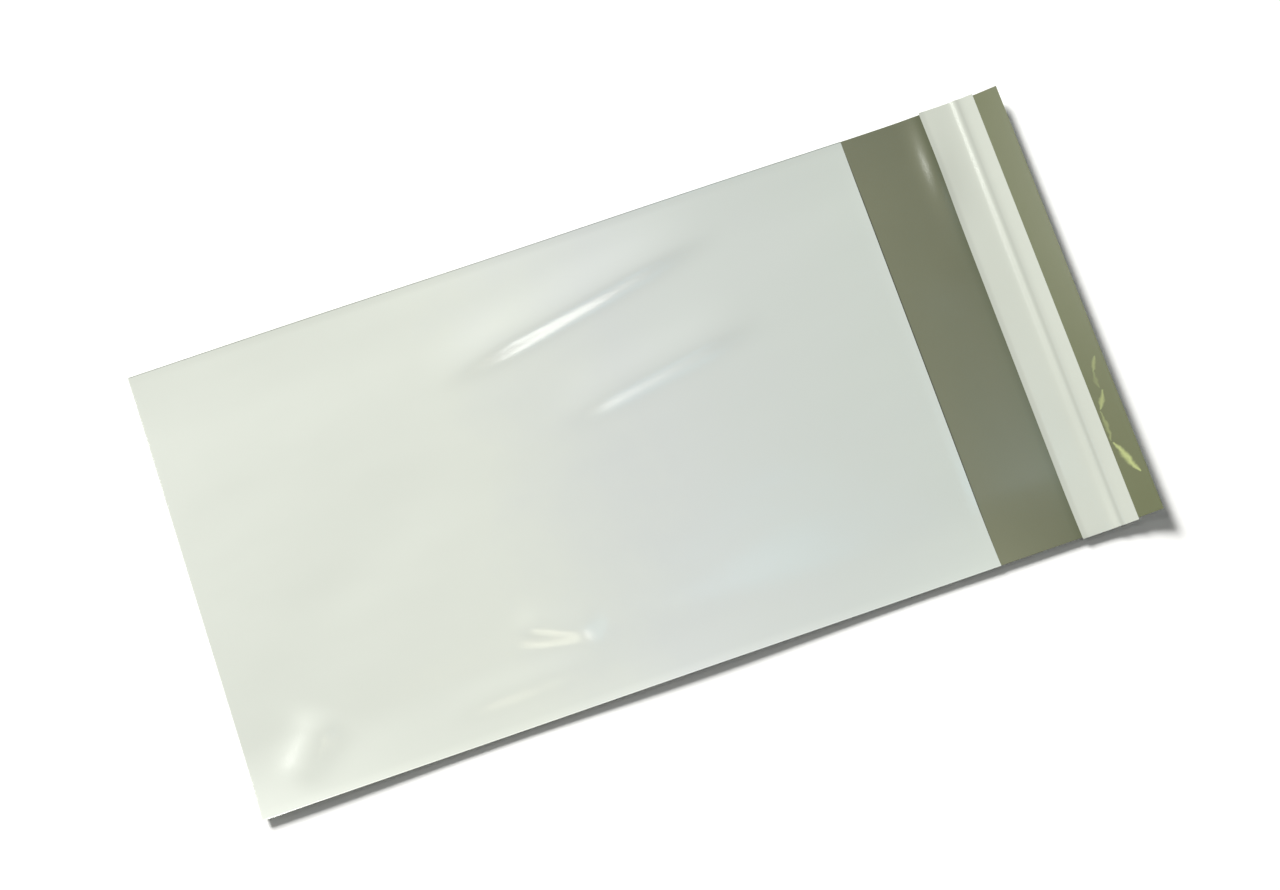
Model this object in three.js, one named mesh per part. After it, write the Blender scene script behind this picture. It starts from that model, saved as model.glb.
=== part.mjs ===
// A small poly mailer bag, empty and lying on its back with the flap open.
// One strip of thin film, white outside and grey inside, is folded once at the bottom and welded to itself
// along both sides. The back panel runs on past the mouth as the flap. The flap carries a band of hot-melt
// adhesive, and a release liner covers that band until the bag is sealed.
// Lengths are millimetres. x runs across the bag from its centre line, s along it from the bottom fold to the
// lip, and z up from the table.
import * as THREE from "three";
import { mergeGeometries, mergeVertices, toCreasedNormals } from "three/addons/utils/BufferGeometryUtils.js";

const { clamp, degToRad, lerp, smoothstep } = THREE.MathUtils;

// Film bag
const bagWidth = 152;
const pouchLength = 250; // bottom fold to the front panel's free edge, which is the mouth
const filmThickness = 0.06;
const weldWidth = 2; // fused strip along each side
const foldDepth = 0.4; // length of film beside the bottom edge that is still turning
const foldGap = 0.2; // air left inside the bottom fold

// Flap, from the mouth outwards: bare band, release liner, bare lip
const bandWidth = 28;
const linerWidth = 19;
const lipWidth = 8;

// Closure strip
const linerThickness = 0.05;
const linerOverhang = 0.6; // the liner stands out past the film's side edges
const linerEdgeLift = 0.35; // the liner's inner edge stands free of the film
const adhesiveThickness = 0.12;
const dryInnerEdge = 1.7; // liner with no adhesive under it, beside the bare band
const dryOuterEdge = 6.3; // and beside the lip, where a finger lifts it
const linerStepRun = 1.2; // over this the liner drops from the adhesive to the film
const contactGap = 0.01; // between layers that lie on each other

// How the empty bag lies
const sideCurlWidth = 24; // strip along each side that lifts off the table
const sideLift = 1.7; // the side edges stand this far off it
const sideLean = 0.4; // the right one higher by this share, and the left one lower
const sideWave = 0.35; // and rise and fall by this much along the bag
const sideWaveLength = 138;
const pouchLoft = 1.5; // air between the panels in the middle of the bag
const sideRun = 12; // distance from a weld over which the front panel rises
const foldRun = 50; // and from the bottom fold
const mouthSlump = 1; // the front panel sinks by this much towards the mouth
const mouthRun = 85;
const bandRise = 2.3; // the flap curls up by this much before its crease
const creaseSlope = 0.2; // and turns up by this slope at the crease
const creaseRadius = 1.6; // half the length over which it turns
const curlLean = 0.13; // the flap's right end curls higher by this share, and its left end lower

// Soft folds in the front panel. Each follows a line between two points, given as x and s. Its ridge has one
// half width on its right, another on its left, and a height, or a depth as a negative height.
const softFolds = [
  { from: [-44.5, 108], to: [-60, 187], rightWidth: 4.6, leftWidth: 11, height: 1.2 },
  { from: [-17.5, 136], to: [-27, 194], rightWidth: 4.6, leftWidth: 9, height: 0.64 },
  { from: [44, 97], to: [53, 119], rightWidth: 4.6, leftWidth: 6.5, height: 0.58 },
  { from: [63, 72], to: [62, 118], rightWidth: 4.6, leftWidth: 6, height: 0.58 },
  { from: [52, 28], to: [68, 14.5], rightWidth: 7.4, leftWidth: 6.5, height: 1.25 },
  { from: [22, 30], to: [-12, 88], rightWidth: 14, leftWidth: 14, height: -0.25 },
];
const softFoldFade = 0.22; // share of its length over which a soft fold dies away past each end
const softFoldRun = 8; // distance from the bottom fold over which soft folds rise

// How finely the film is divided
const cavityColumnCount = 28;
const columnCrowding = 0.2; // share by which the columns crowd towards the welds
const foldRowCount = 4;
const pouchRowCount = 20;
const rowCrowding = 1.2; // power by which the rows crowd towards the bottom fold
const bandRowCount = 4;
const adhesiveRowCount = 3;
const liftedRowCount = 2;
const lipRowCount = 2;
const sharedPoint = 1e-3; // points this close are one point
const sharpEdge = degToRad(40); // faces that meet more sharply than this keep a sharp edge

// Places along the bag and across it
const linerStart = pouchLength + bandWidth;
const linerEnd = linerStart + linerWidth;
const adhesiveStart = linerStart + dryInnerEdge;
const adhesiveEnd = linerEnd - dryOuterEdge; // the flap creases along this edge of the adhesive
const lipEnd = linerEnd + lipWidth;
const halfWidth = bagWidth / 2;
const halfCavity = halfWidth - weldWidth;

// Numbers from first to last in equal steps
function spread(first, last, count) {
  return Array.from({ length: count + 1 }, (_, i) => lerp(first, last, i / count));
}

// Columns of the grid, across the bag
const cavityColumns = spread(-1, 1, cavityColumnCount).map(
  (t) => halfCavity * lerp(t, Math.sin((t * Math.PI) / 2), columnCrowding),
);
const filmColumns = [-halfWidth, ...cavityColumns, halfWidth];
const linerColumns = [-halfWidth - linerOverhang, ...filmColumns, halfWidth + linerOverhang];

// Rows of the grid, along the bag. Those in the bottom fold follow a round, outside and inside.
const foldTurns = spread(0, 1, foldRowCount).map((t) => 1 - Math.cos((t * Math.PI) / 2));
const panelRows = spread(0, 1, pouchRowCount)
  .slice(1)
  .map((t) => lerp(foldDepth, pouchLength, t ** rowCrowding));
const outerRows = [...foldTurns.map((t) => lerp(0, foldDepth, t)), ...panelRows];
const cavityRows = [...foldTurns.map((t) => lerp(filmThickness, foldDepth, t)), ...panelRows];
const adhesiveRows = spread(adhesiveStart, adhesiveEnd, adhesiveRowCount);
const liftedRows = spread(adhesiveEnd + linerStepRun, linerEnd, liftedRowCount);
const linerRows = [linerStart, ...adhesiveRows, ...liftedRows];
const flapRows = [
  ...spread(pouchLength, linerStart, bandRowCount).slice(0, -1),
  ...linerRows,
  ...spread(linerEnd, lipEnd, lipRowCount).slice(1),
];

// A ramp that is level before 0 and climbs at slope 1 after it, rounded where it turns
function roundedRamp(distance, radius) {
  return (distance + Math.hypot(distance, radius)) / 2;
}

// How far the flap has curled up off the table: a slow curl, and a turn at the crease
function flapRise(x, s) {
  const past = Math.max(0, s - pouchLength);
  const creasePast = adhesiveEnd - pouchLength;
  const curl = bandRise * (past / creasePast) ** 2;
  const turn = roundedRamp(past - creasePast, creaseRadius) - roundedRamp(-creasePast, creaseRadius);
  return (curl + creaseSlope * turn) * (1 + (curlLean * x) / halfWidth);
}

// Height of the film's underside. The middle of the back panel is flat on the table.
function underside(x, s) {
  const inside = clamp(x, -halfWidth, halfWidth);
  const curled = Math.max(0, (Math.abs(inside) - halfWidth + sideCurlWidth) / sideCurlWidth);
  const wave = sideWave * Math.sin((2 * Math.PI * s) / sideWaveLength + Math.sign(inside));
  const lift = sideLift * (1 + sideLean * Math.sign(inside));
  const settled = 1 - smoothstep(s, pouchLength, lipEnd);
  return curled ** 2 * (lift + wave) * settled + flapRise(inside, s);
}

// One soft fold: round across its line, often steeper on one side, and dying away past both ends
function softFoldHeight(fold, x, s) {
  const start = new THREE.Vector2(...fold.from);
  const run = new THREE.Vector2(...fold.to).sub(start);
  const spot = new THREE.Vector2(x, s).sub(start);
  const along = spot.dot(run) / run.lengthSq();
  const off = spot.cross(run) / run.length(); // more than 0 on the fold's right
  const width = off > 0 ? fold.rightWidth : fold.leftWidth;
  const started = smoothstep(along, -softFoldFade, softFoldFade);
  const ended = smoothstep(along, 1 - softFoldFade, 1 + softFoldFade);
  return fold.height * (started - ended) * Math.exp(-((off / width) ** 2));
}

// Air between the two panels: none at the welds, a little in the bottom fold, most in the middle
function loft(x, s) {
  const fromWeld = Math.max(0, halfCavity - Math.abs(x));
  const fromFold = Math.max(0, s - foldDepth);
  const slump = mouthSlump * smoothstep(s, pouchLength - mouthRun, pouchLength);
  const opened = (pouchLoft - slump - foldGap) * (1 - Math.exp(-fromFold / foldRun));
  const ridges = softFolds.reduce((sum, fold) => sum + softFoldHeight(fold, x, s), 0);
  const folds = ridges * (1 - Math.exp(-fromFold / softFoldRun));
  return (1 - Math.exp(-fromWeld / sideRun)) * (foldGap + opened + folds);
}

// Share of its full thickness that the bag has in the bottom fold, where the film turns in a round
function foldRoundness(s, start) {
  const inwards = clamp((foldDepth - s) / (foldDepth - start), 0, 1);
  return Math.sqrt(1 - inwards ** 2);
}

// Heights of the pouch's outer faces. Where it is welded, it is two films thick.
const flapTop = (x, s) => underside(x, s) + filmThickness;
const pouchThickness = (x, s) => filmThickness + loft(x, s) + filmThickness;
function outerHeight(x, s, side) {
  const middle = underside(x, s) + pouchThickness(x, s) / 2;
  return middle + (side * foldRoundness(s, 0) * pouchThickness(x, s)) / 2;
}
const backOuter = (x, s) => (s < foldDepth ? outerHeight(x, s, -1) : underside(x, s));
const frontOuter = (x, s) => outerHeight(x, s, 1);

// Heights of its inner faces, which meet at the welds and in the bottom fold
function cavityHeight(x, s, side) {
  const middle = flapTop(x, s) + loft(x, s) / 2;
  return middle + (side * foldRoundness(s, filmThickness) * loft(x, s)) / 2;
}
const cavityFloor = (x, s) => (s < foldDepth ? cavityHeight(x, s, -1) : flapTop(x, s));
const cavityCeiling = (x, s) => cavityHeight(x, s, 1);
const mouthCeiling = (x, s) => (Math.abs(x) > halfCavity ? flapTop(x, s) : cavityCeiling(x, s));

// Heights of the adhesive, which lies on the grey film, and of the liner, which lies on both
const adhesiveLow = (x, s) => flapTop(x, s) + contactGap;
const adhesiveHigh = (x, s) => adhesiveLow(x, s) + adhesiveThickness;
function linerLow(x, s) {
  const pastAdhesive = clamp((s - adhesiveEnd) / linerStepRun, 0, 1);
  const beforeAdhesive = clamp((adhesiveStart - s) / dryInnerEdge, 0, 1);
  const seat = lerp(adhesiveHigh(x, s), flapTop(x, s), pastAdhesive);
  return seat + contactGap + linerEdgeLift * beforeAdhesive;
}
const linerHigh = (x, s) => linerLow(x, s) + linerThickness;

// A grid of triangles through lines of points. The origin is on the table, under the middle of the bag.
function surface(lines, turned) {
  const geometry = new THREE.PlaneGeometry(1, 1, lines[0].length - 1, lines.length - 1);
  const points = lines.flat().flatMap(([x, s, z]) => [x, s - lipEnd / 2, z]);
  geometry.attributes.position.copyArray(points);
  if (turned) turnOver(geometry.index.array);
  return geometry;
}

// Triangles given by their corners, made to face the other way
function turnOver(corners) {
  for (let i = 0; i < corners.length; i += 3) corners.subarray(i, i + 2).reverse();
}

// A face that lies over columns and rows
function face(columns, rows, height, { up }) {
  return surface(
    rows.map((s) => columns.map((x) => [x, s, height(x, s)])),
    up,
  );
}

// A cut edge between two heights, along one row of columns or one column of rows
function cutEdge(columns, rows, low, high, { turned }) {
  const line = (height) => rows.flatMap((s) => columns.map((x) => [x, s, height(x, s)]));
  return surface([line(low), line(high)], turned);
}

// The film's cut edges along both sides
function sideEdges(columns, rows, low, high) {
  return [
    cutEdge([columns[0]], rows, low, high, { turned: false }),
    cutEdge([columns.at(-1)], rows, low, high, { turned: true }),
  ];
}

// Surfaces joined where they share points, without the triangles that close up to a line
function joined(surfaces) {
  const skin = mergeGeometries(surfaces).deleteAttribute("normal").deleteAttribute("uv");
  const merged = mergeVertices(skin, sharedPoint);
  const kept = [];
  for (let i = 0; i < merged.index.count; i += 3) {
    const corners = [0, 1, 2].map((k) => merged.index.getX(i + k));
    if (new Set(corners).size === 3) kept.push(...corners);
  }
  return merged.setIndex(kept);
}

// A closed solid. Each list of surfaces takes the next of its mesh's materials.
function closedSolid(...lists) {
  const skin = mergeVertices(mergeGeometries(lists.map(joined), true), sharedPoint);
  return toCreasedNormals(skin, sharpEdge);
}

// The whole film, as one sheet folded at the bottom and fused along both sides
function filmSheet() {
  const outside = [
    face(filmColumns, [...outerRows, ...flapRows.slice(1)], backOuter, { up: false }),
    face(filmColumns, outerRows, frontOuter, { up: true }),
    cutEdge(filmColumns, [pouchLength], mouthCeiling, frontOuter, { turned: false }),
    cutEdge(filmColumns, [lipEnd], underside, flapTop, { turned: false }),
    ...sideEdges(filmColumns, outerRows, backOuter, flapTop),
    ...sideEdges(filmColumns, outerRows, flapTop, frontOuter),
    ...sideEdges(filmColumns, flapRows, underside, flapTop),
  ];
  const inside = [
    face(cavityColumns, cavityRows, cavityFloor, { up: true }),
    face(cavityColumns, cavityRows, cavityCeiling, { up: false }),
    face(filmColumns, flapRows, flapTop, { up: true }),
  ];
  return closedSolid(outside, inside);
}

// A strip laid across the flap, between two heights
function strip(columns, rows, low, high) {
  return closedSolid([
    face(columns, rows, high, { up: true }),
    face(columns, rows, low, { up: false }),
    cutEdge(columns, [rows[0]], low, high, { turned: true }),
    cutEdge(columns, [rows.at(-1)], low, high, { turned: false }),
    ...sideEdges(columns, rows, low, high),
  ]);
}

const whiteFilm = new THREE.MeshStandardMaterial({ color: 0xdfe4da, roughness: 0.32, metalness: 0 });
const greyFilm = new THREE.MeshStandardMaterial({ color: 0x82876e, roughness: 0.38, metalness: 0 });
const paleLiner = new THREE.MeshStandardMaterial({ color: 0xd9ddd1, roughness: 0.25, metalness: 0 });
const paleAdhesive = new THREE.MeshStandardMaterial({ color: 0xd8cfa4, roughness: 0.3, metalness: 0 });

function named(name, geometry, material) {
  const mesh = new THREE.Mesh(geometry, material);
  mesh.name = name;
  return mesh;
}

const mailer = new THREE.Group();
mailer.add(
  named("film_bag", filmSheet(), [whiteFilm, greyFilm]),
  named("adhesive_strip", strip(cavityColumns, adhesiveRows, adhesiveLow, adhesiveHigh), paleAdhesive),
  named("release_liner", strip(linerColumns, linerRows, linerLow, linerHigh), paleLiner),
);

export default mailer;
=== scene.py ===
import math

import bmesh
import bpy
import numpy as np
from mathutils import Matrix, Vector


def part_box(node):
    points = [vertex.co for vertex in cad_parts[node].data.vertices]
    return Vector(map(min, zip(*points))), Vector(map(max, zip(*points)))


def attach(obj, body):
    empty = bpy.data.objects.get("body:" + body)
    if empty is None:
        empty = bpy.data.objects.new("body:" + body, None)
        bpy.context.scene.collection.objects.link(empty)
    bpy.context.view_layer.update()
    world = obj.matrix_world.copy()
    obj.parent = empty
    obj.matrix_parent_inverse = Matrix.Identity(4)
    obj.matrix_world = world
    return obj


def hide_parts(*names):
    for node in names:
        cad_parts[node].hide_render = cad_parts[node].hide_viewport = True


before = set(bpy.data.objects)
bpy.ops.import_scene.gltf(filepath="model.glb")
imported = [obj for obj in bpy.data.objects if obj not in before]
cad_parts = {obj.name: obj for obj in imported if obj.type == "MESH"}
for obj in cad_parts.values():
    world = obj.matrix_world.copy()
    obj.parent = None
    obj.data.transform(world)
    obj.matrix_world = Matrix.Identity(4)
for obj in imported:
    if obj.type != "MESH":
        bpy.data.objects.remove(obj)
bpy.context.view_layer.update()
mm = 0.001

# Camera
# The view looks down on the bag from high over its right side, so that the flap points to the right and a
# little upwards.
camera_azimuth = math.radians(71)
camera_elevation = math.radians(79.5)
camera_distance = 0.7
lens_mm = 60.0
nearest_seen = 10 * mm


def direction(azimuth, elevation):
    """A unit vector from the bag towards a place around it, where azimuth 0 is at the bottom fold."""
    return Vector(
        (
            math.sin(azimuth) * math.cos(elevation),
            -math.cos(azimuth) * math.cos(elevation),
            math.sin(elevation),
        )
    )


camera = bpy.data.objects.new("camera", bpy.data.cameras.new("camera"))
camera.data.lens = lens_mm
camera.data.clip_start = nearest_seen
towards_camera = direction(camera_azimuth, camera_elevation)
camera.location = towards_camera * camera_distance
camera.rotation_euler = towards_camera.to_track_quat("Z", "Y").to_euler()
bpy.context.scene.collection.objects.link(camera)
bpy.context.scene.camera = camera

# Film bag
# One strip of co-extruded polyethylene film, white outside and olive grey inside. It is folded once at the
# bottom, fused to itself along both sides, and its back panel runs on past the mouth as the flap.
(bag_left, bag_start, _), (bag_right, bag_end, _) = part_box("film_bag")
half_width = (bag_right - bag_left) / 2
lip_end = bag_end - bag_start
pouch_length = 250 * mm
film_thickness = 0.06 * mm
weld_width = 2 * mm
half_cavity = half_width - weld_width
fold_depth = 0.4 * mm
fold_gap = 0.2 * mm

side_curl_width = 24 * mm
side_lift = 1.7 * mm
side_lean = 0.4
side_wave = 0.35 * mm
side_wave_length = 138 * mm
pouch_loft = 1.5 * mm
side_run = 12 * mm
fold_run = 50 * mm
mouth_slump = 1 * mm
mouth_run = 85 * mm
mouth_curl = 0.12 * mm
mouth_curl_run = 3 * mm

(_, adhesive_low, _), (_, adhesive_high, _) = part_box("adhesive_strip")
adhesive_start = adhesive_low - bag_start
adhesive_end = adhesive_high - bag_start
band_rise = 2.3 * mm
crease_slope = 0.2
crease_radius = 1.6 * mm
curl_lean = 0.13

# Each soft fold runs between two points, given across and along the bag, with a half width on its right and
# on its left, and a height, or a depth as a negative height.
soft_folds = (
    ((-44.5, 108), (-60, 187), 4.6, 11, 1.2),
    ((-17.5, 136), (-27, 194), 4.6, 9, 0.64),
    ((44, 97), (53, 119), 4.6, 6.5, 0.58),
    ((63, 72), (62, 118), 4.6, 6, 0.58),
    ((52, 28), (68, 14.5), 7.4, 6.5, 1.25),
    ((22, 30), (-12, 88), 14, 14, -0.25),
)
soft_fold_fade = 0.22
soft_fold_run = 8 * mm

# Each shallow buckle of the flap has its top, across and along the bag, its half width and its height, and
# the distances over which it rises towards its top and falls past it.
flap_buckles = (
    ((-58, 276.6), 17, 1.3, (3.7, 7.2)),
    ((-20, 266), 10, 0.25, (9, 9)),
)

# Tones of the white side, each with its share of the way from the bottom fold to the mouth. They grow darker
# and cooler towards the mouth, painted shade for the light that falls off along the bag. They wander along
# the bag by the drift.
white_tones_with_painted_shade = (
    (0.38, (0.615, 0.643, 0.59)),
    (0.62, (0.552, 0.579, 0.566)),
    (1, (0.523, 0.564, 0.528)),
)
tone_drift = 80 * mm

# Tones of the grey side, each with its place from the bottom fold. It darkens in the last millimetres before
# the closure strip, a painted shade line along the strip's raised inner edge, and is darkest under the
# strip.
grey_tones_with_painted_shade = (
    (250, (0.16, 0.168, 0.108)),
    (262, (0.145, 0.154, 0.098)),
    (271, (0.138, 0.146, 0.092)),
    (275.5, (0.13, 0.14, 0.087)),
    (277.5, (0.108, 0.119, 0.071)),
    (292, (0.105, 0.116, 0.069)),
    (296, (0.127, 0.14, 0.068)),
    (305, (0.124, 0.137, 0.066)),
)

# Pale yellow-green lines on small creases of the thin lip, partly the pale of creased film and partly
# painted glints of light on the crinkles. Each runs between two points, given across and along the bag, with
# a half width and a strength.
lip_glint_colour = (0.41, 0.46, 0.19, 1)
lip_glint_lines = (
    ((50.5, 298.3), (61.9, 302.6), 1.5, 1),
    ((39.5, 298.2), (49.5, 298.1), 0.9, 0.4),
    ((33.3, 301), (38.7, 298.4), 1.3, 0.75),
    ((26.1, 300.3), (32, 300.4), 0.9, 0.3),
    ((21.6, 302.7), (26.1, 300.2), 1.1, 0.5),
)


def smooth_step(value, low, high):
    share = np.clip((value - low) / (high - low), 0, 1)
    return share * share * (3 - 2 * share)


def rounded_ramp(distance, radius):
    return (distance + np.hypot(distance, radius)) / 2


def flap_rise(x, s):
    """How far the flap has curled up off the table: a slow curl, and a turn at the adhesive's outer edge."""
    past = np.maximum(0, s - pouch_length)
    crease_past = adhesive_end - pouch_length
    curl = band_rise * (past / crease_past) ** 2
    turn = rounded_ramp(past - crease_past, crease_radius) - rounded_ramp(-crease_past, crease_radius)
    return (curl + crease_slope * turn) * (1 + curl_lean * x / half_width) + buckle_height(x, s)


def buckle_height(x, s):
    """Shallow round buckles, where the soft film meets the stiffer closure strip."""
    total = 0
    for (top_x, top_s), half, height, (rise, fall) in flap_buckles:
        across = (x / mm - top_x) / half
        along = (s / mm - top_s) / np.where(s / mm < top_s, rise, fall)
        total = total + height * mm * np.exp(-(across**2) - along**2)
    return total


def underside(x, s):
    """Height of the film's underside, flat on the table in the middle of the back panel."""
    inside = np.clip(x, -half_width, half_width)
    curled = np.maximum(0, (np.abs(inside) - half_width + side_curl_width) / side_curl_width)
    wave = side_wave * np.sin(2 * np.pi * s / side_wave_length + np.sign(inside))
    lift = side_lift * (1 + side_lean * np.sign(inside))
    settled = 1 - smooth_step(s, pouch_length, lip_end)
    return curled**2 * (lift + wave) * settled + flap_rise(inside, s)


def soft_fold(x, s, start, end, right_width, left_width, height):
    """One soft fold: round across its line, often steeper on one side, and dying away past both ends."""
    (start_x, start_s), (end_x, end_s) = np.array(start) * mm, np.array(end) * mm
    run_x, run_s = end_x - start_x, end_s - start_s
    length = math.hypot(run_x, run_s)
    along = ((x - start_x) * run_x + (s - start_s) * run_s) / length**2
    off = ((x - start_x) * run_s - (s - start_s) * run_x) / length
    started = smooth_step(along, -soft_fold_fade, soft_fold_fade)
    ended = smooth_step(along, 1 - soft_fold_fade, 1 + soft_fold_fade)
    width = np.where(off > 0, right_width, left_width) * mm
    return height * mm * (started - ended) * np.exp(-((off / width) ** 2))


def loft(x, s):
    """Air between the panels: none at the welds, a little in the bottom fold, most in the middle."""
    from_weld = np.maximum(0, half_cavity - np.abs(x))
    from_fold = np.maximum(0, s - fold_depth)
    slump = mouth_slump * smooth_step(s, pouch_length - mouth_run, pouch_length)
    curl = mouth_curl * np.maximum(0, 1 - (pouch_length - s) / mouth_curl_run) ** 2
    opened = (pouch_loft - slump + curl - fold_gap) * (1 - np.exp(-from_fold / fold_run))
    folds = sum(soft_fold(x, s, *fold) for fold in soft_folds) * (1 - np.exp(-from_fold / soft_fold_run))
    return (1 - np.exp(-from_weld / side_run)) * (fold_gap + opened + folds)


def fold_roundness(s, start):
    """Share of the full thickness in the bottom fold, where the film turns in a round."""
    inwards = np.clip((fold_depth - s) / (fold_depth - start), 0, 1)
    return np.sqrt(1 - inwards**2)


def flap_top(x, s):
    return underside(x, s) + film_thickness


def outer_height(x, s, side):
    thickness = film_thickness + loft(x, s) + film_thickness
    return underside(x, s) + thickness / 2 + side * fold_roundness(s, 0) * thickness / 2


def cavity_height(x, s, side):
    gap = loft(x, s)
    return flap_top(x, s) + gap / 2 + side * fold_roundness(s, film_thickness) * gap / 2


def back_outer(x, s):
    return np.where(s < fold_depth, outer_height(x, s, -1), underside(x, s))


def front_outer(x, s):
    return outer_height(x, s, 1)


def cavity_floor(x, s):
    return np.where(s < fold_depth, cavity_height(x, s, -1), flap_top(x, s))


def cavity_ceiling(x, s):
    return cavity_height(x, s, 1)


def mouth_ceiling(x, s):
    return np.where(np.abs(x) > half_cavity, flap_top(x, s), cavity_ceiling(x, s))


def face(columns, rows, height, up):
    """Points and quads over a grid of columns and rows, seen from above or from below."""
    x, s = np.meshgrid(columns, rows)
    points = np.stack([x, s + bag_start, height(x, s)], axis=-1)
    return points.reshape(-1, 3), quads_of(points.shape[0], points.shape[1], up)


def cut_edge(columns, rows, low, high, turned):
    """Points and quads of the cut edge between two heights, along one row or one column."""
    x, s = (flat.ravel() for flat in np.meshgrid(columns, rows))
    points = np.stack([np.stack([x, s + bag_start, height(x, s)], axis=-1) for height in (low, high)])
    return points.reshape(-1, 3), quads_of(2, len(x), not turned)


def quads_of(line_count, line_length, forward):
    corner = np.arange(line_count * line_length).reshape(line_count, line_length)
    around = [corner[:-1, :-1], corner[:-1, 1:], corner[1:, 1:], corner[1:, :-1]]
    quads = np.stack(around, axis=-1).reshape(-1, 4)
    return quads if forward else quads[:, ::-1]


shared_point = 0.001 * mm


def skin_mesh(name, surfaces, marks=()):
    """One closed mesh of several surfaces. A mark is an attribute's name, domain and values by surface."""
    starts = np.cumsum([0] + [len(points) for points, _ in surfaces])
    points = np.concatenate([points for points, _ in surfaces])
    quads = np.concatenate([quads + start for (_, quads), start in zip(surfaces, starts)])
    mesh = bpy.data.meshes.new(name)
    mesh.from_pydata(points.tolist(), [], quads.tolist())
    for mark, domain, values in marks:
        attribute = mesh.attributes.new(mark, "BOOLEAN" if domain == "FACE" else "FLOAT", domain)
        attribute.data.foreach_set("value", np.concatenate(values))
    whole = bmesh.new()
    whole.from_mesh(mesh)
    bmesh.ops.remove_doubles(whole, verts=whole.verts, dist=shared_point)
    whole.to_mesh(mesh)
    whole.free()
    return mesh


def new_piece(name, mesh):
    piece = bpy.data.objects.new(name, mesh)
    bpy.context.scene.collection.objects.link(piece)
    return piece


column_step = 1.35 * mm
row_step = 1.8 * mm
flap_row_step = 0.8 * mm
fold_turn_count = 8
cavity_columns = np.linspace(-half_cavity, half_cavity, round(2 * half_cavity / column_step) + 1)
film_columns = np.concatenate([[-half_width], cavity_columns, [half_width]])
fold_turns = 1 - np.cos(np.linspace(0, np.pi / 2, fold_turn_count + 1))
panel_rows = np.linspace(fold_depth, pouch_length, round(pouch_length / row_step) + 1)[1:]
outer_rows = np.concatenate([fold_turns * fold_depth, panel_rows])
cavity_rows = np.concatenate([film_thickness + fold_turns * (fold_depth - film_thickness), panel_rows])
flap_rows = np.linspace(pouch_length, lip_end, round((lip_end - pouch_length) / flap_row_step) + 1)


def film_surfaces():
    """The film's surfaces, each with whether it belongs to the grey inside and to the loose front panel."""
    side_edges = []
    for x, turned in ((-half_width, True), (half_width, False)):
        side_edges += [
            (cut_edge([x], outer_rows, back_outer, flap_top, turned), False, False),
            (cut_edge([x], outer_rows, flap_top, front_outer, turned), False, False),
            (cut_edge([x], flap_rows, underside, flap_top, turned), False, False),
        ]
    return [
        (face(film_columns, np.concatenate([outer_rows, flap_rows[1:]]), back_outer, False), False, False),
        (face(film_columns, outer_rows, front_outer, True), False, True),
        (face(cavity_columns, cavity_rows, cavity_floor, True), True, False),
        (face(cavity_columns, cavity_rows, cavity_ceiling, False), True, True),
        (face(film_columns, flap_rows, flap_top, True), True, False),
        (cut_edge(film_columns, [pouch_length], mouth_ceiling, front_outer, True), False, True),
        (cut_edge(film_columns, [lip_end], underside, flap_top, True), False, False),
        *side_edges,
    ]


slack_run = 9 * mm


def slack_of(points, loose):
    """How freely each point of the front panel may cockle, from 0 at the welds and the fold to 1."""
    from_weld = np.maximum(0, half_cavity - np.abs(points[:, 0]))
    from_fold = np.maximum(0, points[:, 1] - bag_start - fold_depth)
    return loose * smooth_step(from_weld, 0, slack_run) * smooth_step(from_fold, 0, slack_run)


made = film_surfaces()
film_mesh = skin_mesh(
    "film_bag_skin",
    [surface for surface, _, _ in made],
    [
        ("inside", "FACE", [np.full(len(quads), inside) for (_, quads), inside, _ in made]),
        ("slack", "POINT", [slack_of(points, loose) for (points, _), _, loose in made]),
    ],
)
film = new_piece("mailer_film", film_mesh)


def add(tree, kind, inputs=None, **settings):
    """A new node with its settings, and with values or links on its inputs."""
    node = tree.nodes.new(kind)
    for name, value in settings.items():
        setattr(node, name, value)
    for name, value in (inputs or {}).items():
        if isinstance(value, bpy.types.NodeSocket):
            tree.links.new(value, node.inputs[name])
        else:
            node.inputs[name].default_value = value
    return node


def number(tree, operation, *values, **settings):
    """What a Math node makes of its values."""
    return add(tree, "ShaderNodeMath", dict(enumerate(values)), operation=operation, **settings).outputs[0]


def vector(tree, operation, *values):
    """The vector that a Vector Math node makes of its values."""
    return add(tree, "ShaderNodeVectorMath", dict(enumerate(values)), operation=operation).outputs[0]


def measure(tree, operation, *values):
    """The number that a Vector Math node makes of its values."""
    return add(tree, "ShaderNodeVectorMath", dict(enumerate(values)), operation=operation).outputs["Value"]


def geometry_tree(name, **inputs):
    """A Geometry Nodes tree with named inputs, given as their socket kinds."""
    tree = bpy.data.node_groups.new(name, "GeometryNodeTree")
    tree.interface.new_socket("Geometry", in_out="INPUT", socket_type="NodeSocketGeometry")
    for label, kind in inputs.items():
        tree.interface.new_socket(label, in_out="INPUT", socket_type=kind)
    tree.interface.new_socket("Geometry", in_out="OUTPUT", socket_type="NodeSocketGeometry")
    return tree, add(tree, "NodeGroupInput").outputs


sharp_edge = math.radians(40)


def shade(mesh):
    """Smooth shading, apart from the edges where faces meet more sharply than the limit."""
    mesh.shade_smooth()
    mesh.set_sharp_from_angle(angle=sharp_edge)


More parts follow.
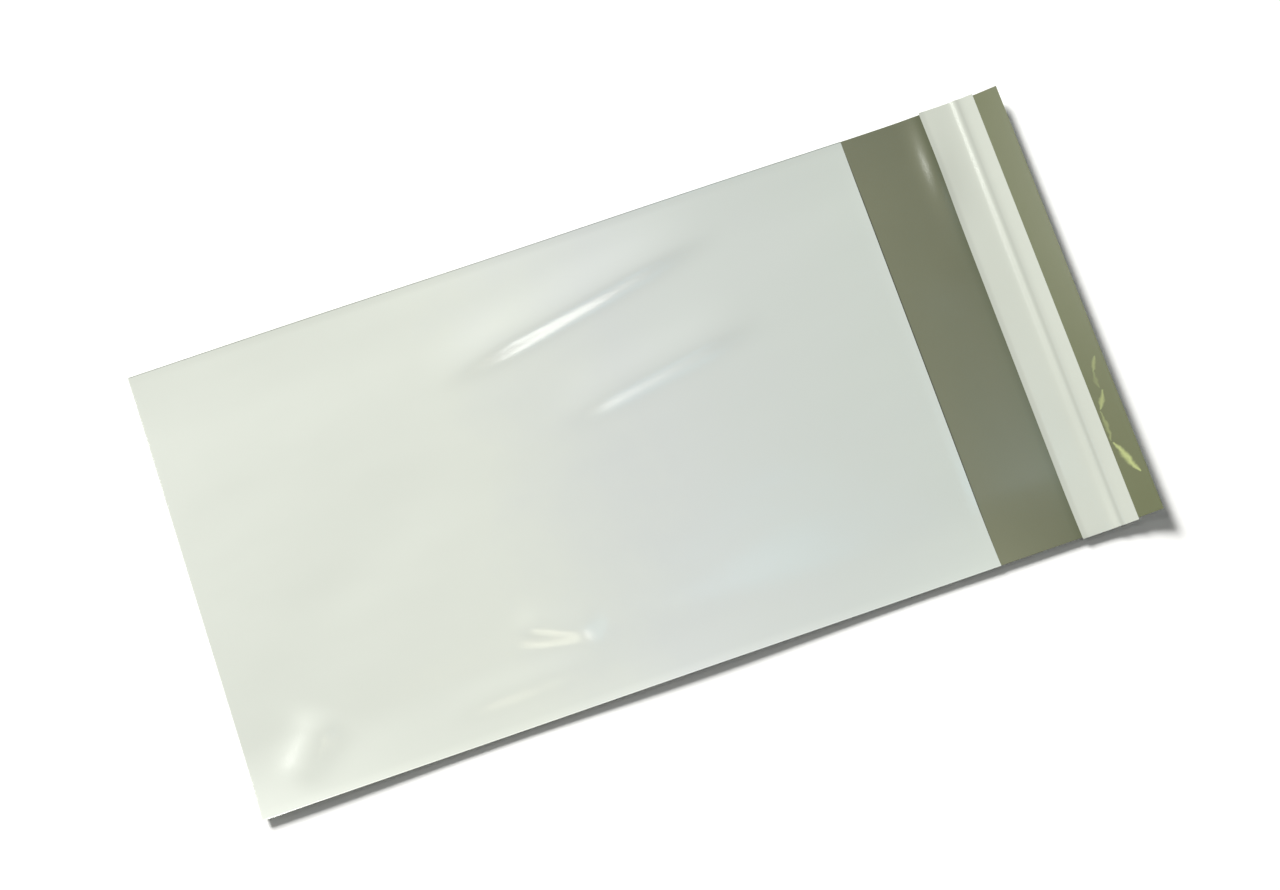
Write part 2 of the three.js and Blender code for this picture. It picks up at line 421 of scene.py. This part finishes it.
def run_tree(piece, tree, **values):
    """Runs a tree on a piece with the values of its inputs, and keeps the result as a plain mesh."""
    modifier = piece.modifiers.new(tree.name, "NODES")
    modifier.node_group = tree
    for item in tree.interface.items_tree:
        if item.in_out == "INPUT" and item.name in values:
            modifier[item.identifier] = values[item.name]
    evaluated = piece.evaluated_get(bpy.context.evaluated_depsgraph_get())
    mesh = bpy.data.meshes.new_from_object(evaluated)
    piece.modifiers.clear()
    piece.data = mesh
    shade(mesh)


# Waves in a metre of film: the fine lines that its drawing left, across and along the bag, the peel between
# them, and the slow patches of gloss and tone.
drawn_lines = (14, 700, 0)
peel_waves = 420
patch_waves = 22


def film_surface_group():
    """Fine relief and patchiness of thin film: lines along the web, a soft peel, and slow patches."""
    group = bpy.data.node_groups.new("film_surface", "ShaderNodeTree")
    group.interface.new_socket("Place", in_out="INPUT", socket_type="NodeSocketVector")
    group.interface.new_socket("Line Share", in_out="INPUT", socket_type="NodeSocketFloat")
    group.interface.new_socket("Relief", in_out="OUTPUT", socket_type="NodeSocketFloat")
    group.interface.new_socket("Patches", in_out="OUTPUT", socket_type="NodeSocketFloat")
    place, line_share = add(group, "NodeGroupInput").outputs[:2]
    stretched = vector(group, "MULTIPLY", place, drawn_lines)
    lines = add(group, "ShaderNodeTexNoise", {"Vector": stretched, "Scale": 1, "Detail": 3})
    peel = add(group, "ShaderNodeTexNoise", {"Vector": place, "Scale": peel_waves, "Detail": 2})
    relief = add(
        group,
        "ShaderNodeMix",
        {"Factor": line_share, "A": peel.outputs["Fac"], "B": lines.outputs["Fac"]},
    )
    patches = add(
        group,
        "ShaderNodeTexNoise",
        {"Vector": place, "Scale": patch_waves, "Detail": 7, "Roughness": 0.68},
    )
    add(group, "NodeGroupOutput", {"Relief": relief.outputs["Result"], "Patches": patches.outputs["Fac"]})
    return group


film_surface = film_surface_group()
smoother_patch = 0.04
rougher_patch = 0.05


def film_material(name, roughness, line_share, relief):
    """A glossy film whose colour is still to be set: the material, its tree, shader, place and patches."""
    material = bpy.data.materials.new(name)
    material.use_nodes = True
    tree = material.node_tree
    shader = tree.nodes["Principled BSDF"]
    place = add(tree, "ShaderNodeTexCoord").outputs["Object"]
    surface = add(
        tree, "ShaderNodeGroup", {"Place": place, "Line Share": line_share}, node_tree=film_surface
    )
    bump = add(
        tree,
        "ShaderNodeBump",
        {"Height": surface.outputs["Relief"], "Distance": relief, "Strength": 1},
    )
    tree.links.new(bump.outputs["Normal"], shader.inputs["Normal"])
    patches = surface.outputs["Patches"]
    gloss = add(
        tree,
        "ShaderNodeMapRange",
        {"Value": patches, "To Min": roughness - smoother_patch, "To Max": roughness + rougher_patch},
    )
    tree.links.new(gloss.outputs["Result"], shader.inputs["Roughness"])
    return material, tree, shader, place, patches


def tinted(tree, colour, patches, depth):
    """A colour made slightly darker and lighter in patches."""
    tint = add(tree, "ShaderNodeMapRange", {"Value": patches, "To Min": 1 - depth, "To Max": 1 + depth})
    return vector(tree, "MULTIPLY", colour, tint.outputs["Result"])


def tone_ramp(tree, share, tones):
    """A colour that passes through tones, each given with its place from 0 to 1."""
    ramp = add(tree, "ShaderNodeValToRGB", {"Fac": share})
    stops = ramp.color_ramp.elements
    while len(stops) < len(tones):
        stops.new(0.5)
    for stop, (place, tone) in zip(stops, tones):
        stop.position = place
        stop.color = (*tone, 1)
    return ramp.outputs["Color"]


def white_film_material():
    material, tree, shader, place, patches = film_material(
        "white_film", roughness=0.3, line_share=0.5, relief=0.003 * mm
    )
    shader.inputs["Coat Weight"].default_value = 0.7
    shader.inputs["Coat Roughness"].default_value = 0.13
    along = add(tree, "ShaderNodeSeparateXYZ", {0: place}).outputs["Y"]
    drifted = number(tree, "MULTIPLY_ADD", patches, tone_drift, along)
    first = bag_start + tone_drift / 2
    share = add(
        tree,
        "ShaderNodeMapRange",
        {"Value": drifted, "From Min": first, "From Max": first + pouch_length},
    )
    # The tones paint shade that deepens towards the mouth.
    tones = tone_ramp(tree, share.outputs["Result"], white_tones_with_painted_shade)
    tree.links.new(tinted(tree, tones, patches, depth=0.012), shader.inputs["Base Color"])
    return material


crease_sway = 1.6 * mm
crease_sway_waves = 420
crease_taper = 0.7


def crease_line_group():
    """A mask that is as strong as asked on a wavering line between two points, and 0 past its width."""
    group = bpy.data.node_groups.new("crease_line", "ShaderNodeTree")
    for label in ("Place", "Start", "End"):
        group.interface.new_socket(label, in_out="INPUT", socket_type="NodeSocketVector")
    for label in ("Width", "Strength"):
        group.interface.new_socket(label, in_out="INPUT", socket_type="NodeSocketFloat")
    group.interface.new_socket("Mask", in_out="OUTPUT", socket_type="NodeSocketFloat")
    place, start, end, width, strength = add(group, "NodeGroupInput").outputs[:5]
    level = vector(group, "MULTIPLY", place, (1, 1, 0))
    noise = add(group, "ShaderNodeTexNoise", {"Vector": level, "Scale": crease_sway_waves, "Detail": 2})
    sway = vector(group, "SUBTRACT", noise.outputs["Color"], (0.5, 0.5, 0.5))
    wavering = vector(group, "MULTIPLY_ADD", sway, (crease_sway, crease_sway, 0), level)
    run = vector(group, "SUBTRACT", end, start)
    away = vector(group, "SUBTRACT", wavering, start)
    reach = measure(group, "DOT_PRODUCT", away, run)
    whole = measure(group, "DOT_PRODUCT", run, run)
    along = number(group, "DIVIDE", reach, whole, use_clamp=True)
    nearest = add(group, "ShaderNodeVectorMath", {0: run, "Scale": along}, operation="SCALE").outputs[0]
    off = measure(group, "DISTANCE", away, nearest)
    from_middle = number(group, "MULTIPLY_ADD", along, 2, -1)
    pointed = number(group, "MULTIPLY_ADD", number(group, "POWER", from_middle, 2), -crease_taper, 1)
    tapered = number(group, "MULTIPLY", width, pointed)
    mask = add(
        group,
        "ShaderNodeMapRange",
        {"Value": off, "From Min": 0, "From Max": tapered, "To Min": strength, "To Max": 0},
        interpolation_type="SMOOTHSTEP",
    )
    add(group, "NodeGroupOutput", {"Mask": mask.outputs["Result"]})
    return group


def lip_glint_mask(tree, place, patches):
    """All the pale lines of the lip together, partly painted glint, broken up in patches."""
    group = crease_line_group()
    total = 0
    for start, end, width, strength in lip_glint_lines:
        line = add(
            tree,
            "ShaderNodeGroup",
            {
                "Place": place,
                "Start": (start[0] * mm, start[1] * mm + bag_start, 0),
                "End": (end[0] * mm, end[1] * mm + bag_start, 0),
                "Width": width * mm,
                "Strength": strength,
            },
            node_tree=group,
        )
        total = number(tree, "MAXIMUM", total, line.outputs["Mask"])
    broken = add(
        tree,
        "ShaderNodeMapRange",
        {"Value": patches, "From Min": 0.3, "From Max": 0.6, "To Min": 0.55},
    )
    return number(tree, "MULTIPLY", total, broken.outputs["Result"])


def grey_film_material():
    material, tree, shader, place, patches = film_material(
        "grey_film", roughness=0.33, line_share=0.6, relief=0.006 * mm
    )
    shader.inputs["Coat Weight"].default_value = 0.8
    shader.inputs["Coat Roughness"].default_value = 0.2
    along = add(tree, "ShaderNodeSeparateXYZ", {0: place}).outputs["Y"]
    share = add(tree, "ShaderNodeMapRange", {"Value": along, "From Min": bag_start, "From Max": bag_end})
    # The ramp paints a shade line just before the closure strip.
    placed_tones = [(s * mm / lip_end, tone) for s, tone in grey_tones_with_painted_shade]
    tones = tone_ramp(tree, share.outputs["Result"], placed_tones)
    # The lip's pale lines go into the colour, partly as painted glints.
    tones_and_glints = add(
        tree,
        "ShaderNodeMix",
        {
            "Factor": lip_glint_mask(tree, place, patches),
            "A": tinted(tree, tones, patches, depth=0.06),
            "B": lip_glint_colour,
        },
        data_type="RGBA",
    )
    tree.links.new(tones_and_glints.outputs["Result"], shader.inputs["Base Color"])
    return material


white_film = white_film_material()
grey_film = grey_film_material()


def cockle_tree():
    """Small random waves in the loose front panel, and the two sides' materials."""
    tree, inputs = geometry_tree(
        "film_cockles",
        Height="NodeSocketFloat",
        Across="NodeSocketFloat",
        Along="NodeSocketFloat",
        Seed="NodeSocketFloat",
        Outside="NodeSocketMaterial",
        Inside="NodeSocketMaterial",
    )
    place = add(tree, "GeometryNodeInputPosition").outputs[0]
    x, y, _ = add(tree, "ShaderNodeSeparateXYZ", {0: place}).outputs
    across = number(tree, "DIVIDE", x, inputs["Across"])
    along = number(tree, "DIVIDE", y, inputs["Along"])
    spot = add(tree, "ShaderNodeCombineXYZ", {"X": across, "Y": along}).outputs[0]
    waves = add(
        tree,
        "ShaderNodeTexNoise",
        {"Vector": spot, "W": inputs["Seed"], "Scale": 1, "Detail": 1.5},
        noise_dimensions="4D",
    )
    level = number(tree, "SUBTRACT", waves.outputs["Fac"], 0.5)
    slack = add(tree, "GeometryNodeInputNamedAttribute", {"Name": "slack"}, data_type="FLOAT")
    freed = number(tree, "MULTIPLY", level, slack.outputs["Attribute"])
    lift = number(tree, "MULTIPLY", freed, inputs["Height"])
    offset = add(tree, "ShaderNodeCombineXYZ", {"Z": lift}).outputs[0]
    waved = add(tree, "GeometryNodeSetPosition", {"Geometry": inputs["Geometry"], "Offset": offset})
    real = add(tree, "GeometryNodeRealizeInstances", {"Geometry": waved.outputs[0]}).outputs[0]
    white = add(tree, "GeometryNodeSetMaterial", {"Geometry": real, "Material": inputs["Outside"]})
    inside = add(tree, "GeometryNodeInputNamedAttribute", {"Name": "inside"}, data_type="BOOLEAN")
    grey = add(
        tree,
        "GeometryNodeSetMaterial",
        {
            "Geometry": white.outputs[0],
            "Selection": inside.outputs["Attribute"],
            "Material": inputs["Inside"],
        },
    )
    add(tree, "NodeGroupOutput", {"Geometry": grey.outputs[0]})
    return tree


run_tree(
    film,
    cockle_tree(),
    Height=0.22 * mm,
    Across=17 * mm,
    Along=42 * mm,
    Seed=3.7,
    Outside=white_film,
    Inside=grey_film,
)
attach(film, "root")
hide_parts("film_bag")

# Side weld beads
# The hot knife that cuts a bag from the web fuses its two films and leaves a thin lumpy bead of melted film
# along each side edge, from the bottom fold to the mouth.
bead_row_count = 200
bead_rows = np.linspace(fold_depth, pouch_length, bead_row_count)
bead_step = 0.7 * mm
bead_sides = 8


def bead_tree():
    """Round beads that follow the edges of a mesh, thicker and thinner along their length."""
    tree, inputs = geometry_tree(
        "weld_beads",
        Radius="NodeSocketFloat",
        Variation="NodeSocketFloat",
        Lump="NodeSocketFloat",
        Seed="NodeSocketFloat",
        Finish="NodeSocketMaterial",
    )
    curve = add(tree, "GeometryNodeMeshToCurve", {"Mesh": inputs["Geometry"]}).outputs[0]
    fine = add(tree, "GeometryNodeResampleCurve", {"Curve": curve, "Length": bead_step}, mode="LENGTH")
    place = add(tree, "GeometryNodeInputPosition").outputs[0]
    lumps = add(
        tree,
        "ShaderNodeTexNoise",
        {
            "Vector": place,
            "W": inputs["Seed"],
            "Scale": number(tree, "DIVIDE", 1, inputs["Lump"]),
            "Detail": 2,
        },
        noise_dimensions="4D",
    )
    swing = add(
        tree,
        "ShaderNodeMapRange",
        {"Value": lumps.outputs["Fac"], "From Min": 0.25, "From Max": 0.75, "To Min": -1, "To Max": 1},
    )
    scale = number(tree, "MULTIPLY_ADD", swing.outputs["Result"], inputs["Variation"], 1)
    sized = add(tree, "GeometryNodeSetCurveRadius", {"Curve": fine.outputs[0], "Radius": scale})
    ring = add(
        tree, "GeometryNodeCurvePrimitiveCircle", {"Resolution": bead_sides, "Radius": inputs["Radius"]}
    )
    bead = add(
        tree,
        "GeometryNodeCurveToMesh",
        {"Curve": sized.outputs[0], "Profile Curve": ring.outputs[0], "Fill Caps": True},
    )
    real = add(tree, "GeometryNodeRealizeInstances", {"Geometry": bead.outputs[0]}).outputs[0]
    finished = add(tree, "GeometryNodeSetMaterial", {"Geometry": real, "Material": inputs["Finish"]})
    add(tree, "NodeGroupOutput", {"Geometry": finished.outputs[0]})
    return tree


def bead_paths():
    """The middles of the two fused side edges, as two lines of edges."""
    paths = bpy.data.meshes.new("weld_bead_paths")
    sides = (-half_width, half_width)
    points = [(x, s + bag_start, float(flap_top(x, s))) for x in sides for s in bead_rows]
    edges = [(i, i + 1) for i in range(len(points) - 1) if i != bead_row_count - 1]
    paths.from_pydata(points, edges, [])
    return paths


beads = new_piece("side_weld_beads", bead_paths())
run_tree(beads, bead_tree(), Radius=0.15 * mm, Variation=0.35, Lump=5 * mm, Seed=1.3, Finish=white_film)
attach(beads, "root")

# Adhesive band
# Hot-melt glue, clear to pale amber, spread in one band across the flap's grey side. The liner is laid over
# it and hides it until the bag is sealed.
adhesive_thickness = 0.12 * mm
contact_gap = 0.01 * mm
glue_amber = (0.62, 0.55, 0.33)
adhesive_row_count = 9
adhesive_rows = np.linspace(adhesive_start, adhesive_end, adhesive_row_count)


def adhesive_bottom(x, s):
    return flap_top(x, s) + contact_gap


def adhesive_top(x, s):
    return adhesive_bottom(x, s) + adhesive_thickness


def strip_surfaces(columns, rows, low, high):
    """A strip laid across the flap, between two heights."""
    return [
        face(columns, rows, high, True),
        face(columns, rows, low, False),
        cut_edge(columns, [rows[0]], low, high, False),
        cut_edge(columns, [rows[-1]], low, high, True),
        cut_edge([columns[0]], rows, low, high, True),
        cut_edge([columns[-1]], rows, low, high, False),
    ]


adhesive = new_piece(
    "adhesive_band",
    skin_mesh(
        "adhesive_band", strip_surfaces(cavity_columns, adhesive_rows, adhesive_bottom, adhesive_top)
    ),
)
shade(adhesive.data)


def glue_material():
    material, tree, shader, _, patches = film_material(
        "hot_melt_glue", roughness=0.22, line_share=0.5, relief=0.02 * mm
    )
    tree.links.new(tinted(tree, glue_amber, patches, depth=0.1), shader.inputs["Base Color"])
    return material


adhesive.data.materials.append(glue_material())
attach(adhesive, "root")
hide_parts("adhesive_strip")

# Release liner
# A milky film strip with a silicone face, laid over the adhesive. Its inner edge stands a little free of the
# band. It is creased along the adhesive's outer edge, and past that it lies dry, where a finger lifts it.
(liner_left, liner_low, _), (liner_right, liner_high, _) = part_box("release_liner")
liner_start = liner_low - bag_start
liner_end = liner_high - bag_start
liner_thickness = 0.05 * mm
liner_step_run = 1.2 * mm
liner_edge_lift = 0.35 * mm
liner_bend = 0.52 * mm
liner_bend_run = 1.55 * mm
liner_row_count = 39
bend_row_count = 13
liner_white = (0.526, 0.552, 0.495)


def liner_bottom(x, s):
    past = np.clip((s - adhesive_end) / liner_step_run, 0, 1)
    before = np.clip((adhesive_start - s) / (adhesive_start - liner_start), 0, 1)
    seat = adhesive_top(x, s) * (1 - past) + flap_top(x, s) * past
    bend = liner_bend * np.exp(-(((s - adhesive_end) / liner_bend_run) ** 2))
    return seat + contact_gap + liner_edge_lift * before + bend


def liner_top(x, s):
    return liner_bottom(x, s) + liner_thickness


bend_reach = 2 * liner_bend_run
even_rows = np.linspace(liner_start, liner_end, liner_row_count)
bend_rows = np.linspace(adhesive_end - bend_reach, adhesive_end + bend_reach, bend_row_count)
liner_rows = np.unique(np.concatenate([even_rows, bend_rows]))
liner_columns = np.concatenate([[liner_left], film_columns, [liner_right]])
liner = new_piece(
    "liner_strip",
    skin_mesh("liner_strip", strip_surfaces(liner_columns, liner_rows, liner_bottom, liner_top)),
)
shade(liner.data)


def liner_material():
    material, tree, shader, _, patches = film_material(
        "release_film", roughness=0.2, line_share=0.7, relief=0.0015 * mm
    )
    tree.links.new(tinted(tree, liner_white, patches, depth=0.03), shader.inputs["Base Color"])
    return material


liner.data.materials.append(liner_material())
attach(liner, "root")
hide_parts("release_liner")

# Floor and lights
# A plain white table top, one large soft light, and four small bright panels that the film mirrors where it
# is nearly flat and where it is folded.
floor_size = 8
floor_drop = 0.02 * mm
half_floor = floor_size / 2
floor_corners = [
    (-half_floor, -half_floor, 0),
    (half_floor, -half_floor, 0),
    (half_floor, half_floor, 0),
    (-half_floor, half_floor, 0),
]
floor_mesh = bpy.data.meshes.new("table_top")
floor_mesh.from_pydata(floor_corners, [], [(0, 1, 2, 3)])
floor = new_piece("table_top", floor_mesh)
floor.location.z = -floor_drop
floor_paint = bpy.data.materials.new("table_white")
floor_paint.use_nodes = True
floor_shader = floor_paint.node_tree.nodes["Principled BSDF"]
floor_shader.inputs["Base Color"].default_value = (0.97, 0.97, 0.97, 1)
floor_shader.inputs["Roughness"].default_value = 0.9
floor_shader.inputs["Specular IOR Level"].default_value = 0.1
floor_mesh.materials.append(floor_paint)

# Each panel's lean from straight above, across and along the bag in degrees, its distance, its two sides,
# its radiance and its colour. Distances and sides are metres.
light_panels = {
    "key": ((-49, -29), 5, (1.5, 1.5), 59.3, (1, 0.995, 0.97)),
    "overhead": ((3.2, 6), 4, (0.26, 0.6), 20, (1, 1, 0.96)),
    "end_strip": ((-18, -24), 3, (0.36, 0.3), 16, (0.98, 1, 0.94)),
    "cool_strip": ((-3, 7), 3, (0.2, 0.4), 2.3, (0.2, 0.7, 1)),
    "warm_strip": ((2, -4.5), 3, (0.3, 0.18), 10.5, (1, 0.97, 0.72)),
}
for name, ((across, along), distance, (width, length), radiance, colour) in light_panels.items():
    away = Vector((math.tan(math.radians(across)), math.tan(math.radians(along)), 1)).normalized()
    light = bpy.data.lights.new(name, "AREA")
    light.shape = "RECTANGLE"
    light.size = width
    light.size_y = length
    light.energy = radiance * math.pi * width * length
    light.color = colour
    panel = bpy.data.objects.new(name, light)
    panel.location = away * distance
    panel.rotation_euler = away.to_track_quat("Z", "Y").to_euler()
    bpy.context.scene.collection.objects.link(panel)

sky_strength = 0.07
world = bpy.data.worlds.new("studio")
world.use_nodes = True
sky = world.node_tree.nodes["Background"]
sky.inputs["Color"].default_value = (1, 1, 1, 1)
sky.inputs["Strength"].default_value = sky_strength
bpy.context.scene.world = world
bpy.context.scene.view_settings.view_transform = "Standard"
